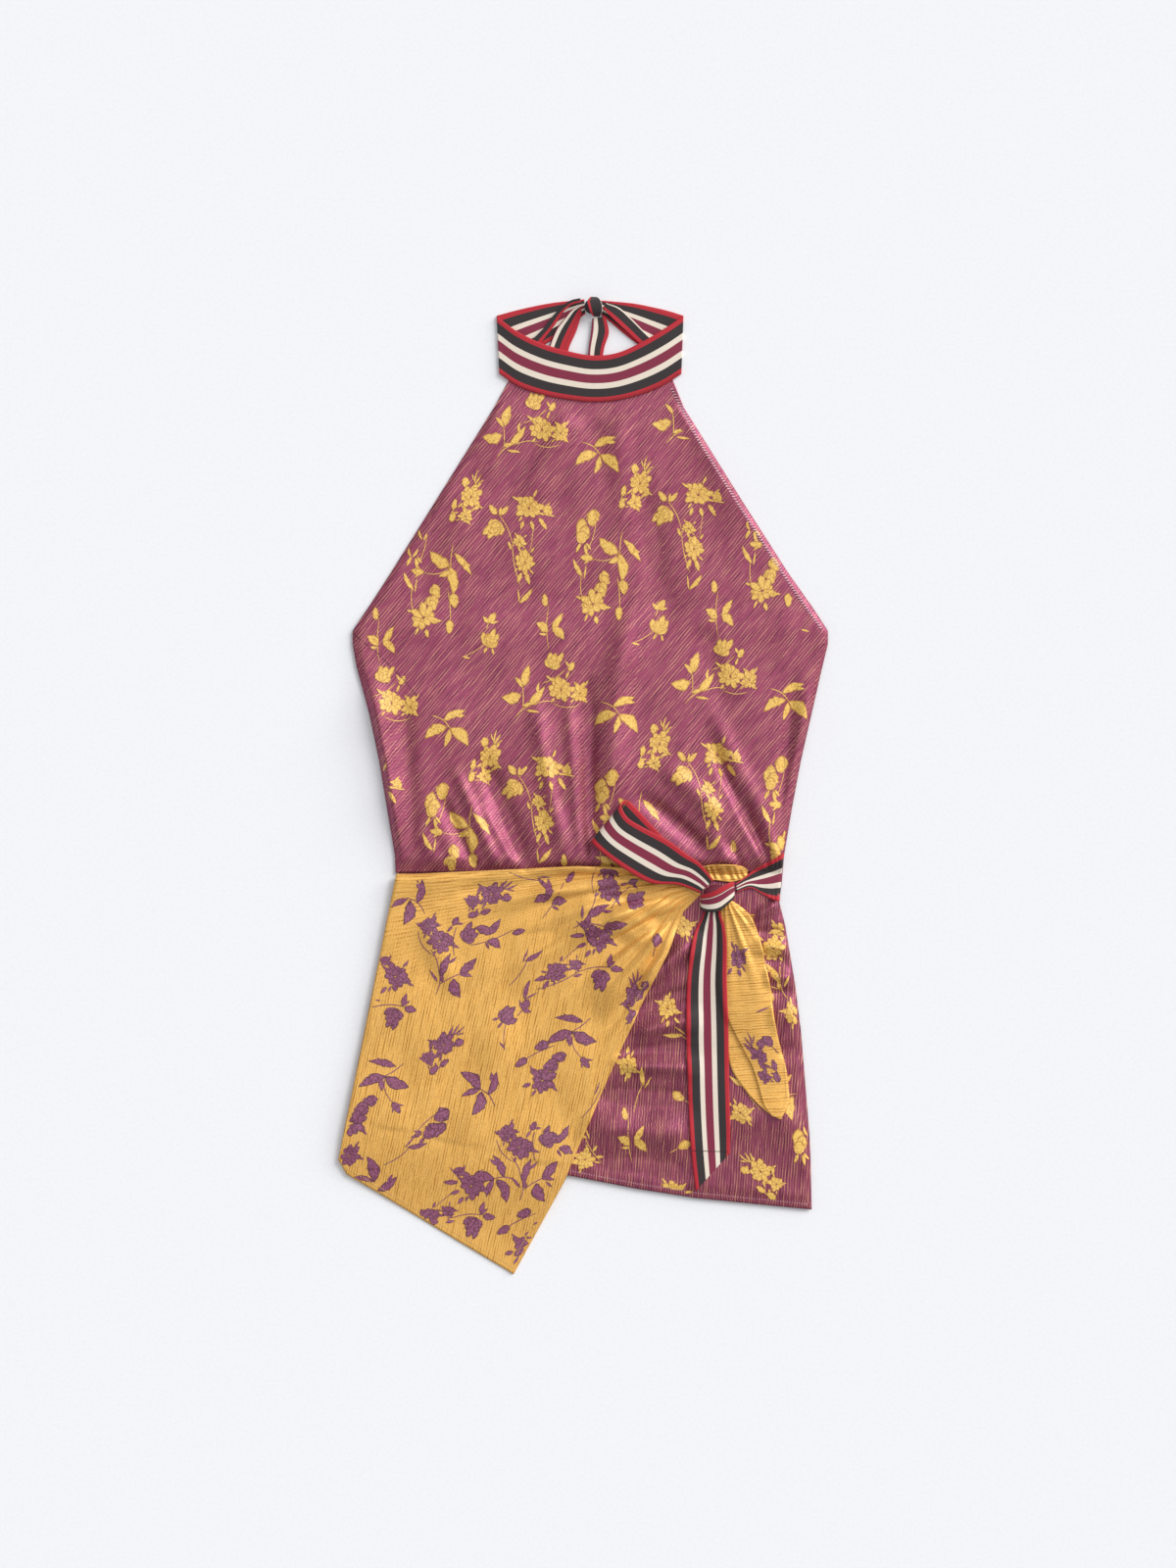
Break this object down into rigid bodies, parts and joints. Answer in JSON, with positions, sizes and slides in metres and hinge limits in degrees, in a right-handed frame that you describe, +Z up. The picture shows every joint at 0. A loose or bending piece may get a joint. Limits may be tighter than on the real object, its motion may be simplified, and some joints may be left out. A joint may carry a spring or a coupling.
{
  "type": "halter wrap top",
  "caption": "Halter-neck wrap top laid flat, two-sided floral jacquard with a wrap gathered to a knot and striped ribbon ties.",
  "frame": {"origin": "centre of the whole top's outline, on the surface it lies on", "axes": "+X across the top to the viewer's right, +Y up to the neck, +Z up out of the surface"},
  "size_m": [0.4368, 0.8724, 0.0214],
  "materials": {
    "jacquard_face": "satin crepe jacquard, mauve ground with gold flower sprays",
    "jacquard_reverse": "reverse of the satin crepe jacquard, gold ground with mauve flower sprays",
    "striped_ribbon": "grosgrain ribbon with lengthwise red, black, cream and burgundy stripes"
  },
  "bodies": {
    "root": {"back_panel": "jacquard_face", "front_bodice": "jacquard_face", "front_skirt": "jacquard_face", "wrap_flap": "jacquard_reverse", "wrap_waist_fold": "jacquard_reverse", "wrap_tail": "jacquard_reverse", "collar_front": "striped_ribbon", "collar_back_left": "striped_ribbon", "collar_back_right": "striped_ribbon", "neck_knot": "striped_ribbon", "neck_knot_band": "striped_ribbon", "neck_tie_left_outer": "striped_ribbon", "neck_tie_left_inner": "striped_ribbon", "neck_tie_right_inner": "striped_ribbon", "neck_tie_right_outer": "striped_ribbon", "waist_tie_side": "striped_ribbon", "waist_knot": "striped_ribbon", "waist_knot_band": "striped_ribbon", "bow_loop_under": "striped_ribbon", "bow_loop_upper": "striped_ribbon", "bow_tail": "striped_ribbon"}
  },
  "joints": []
}
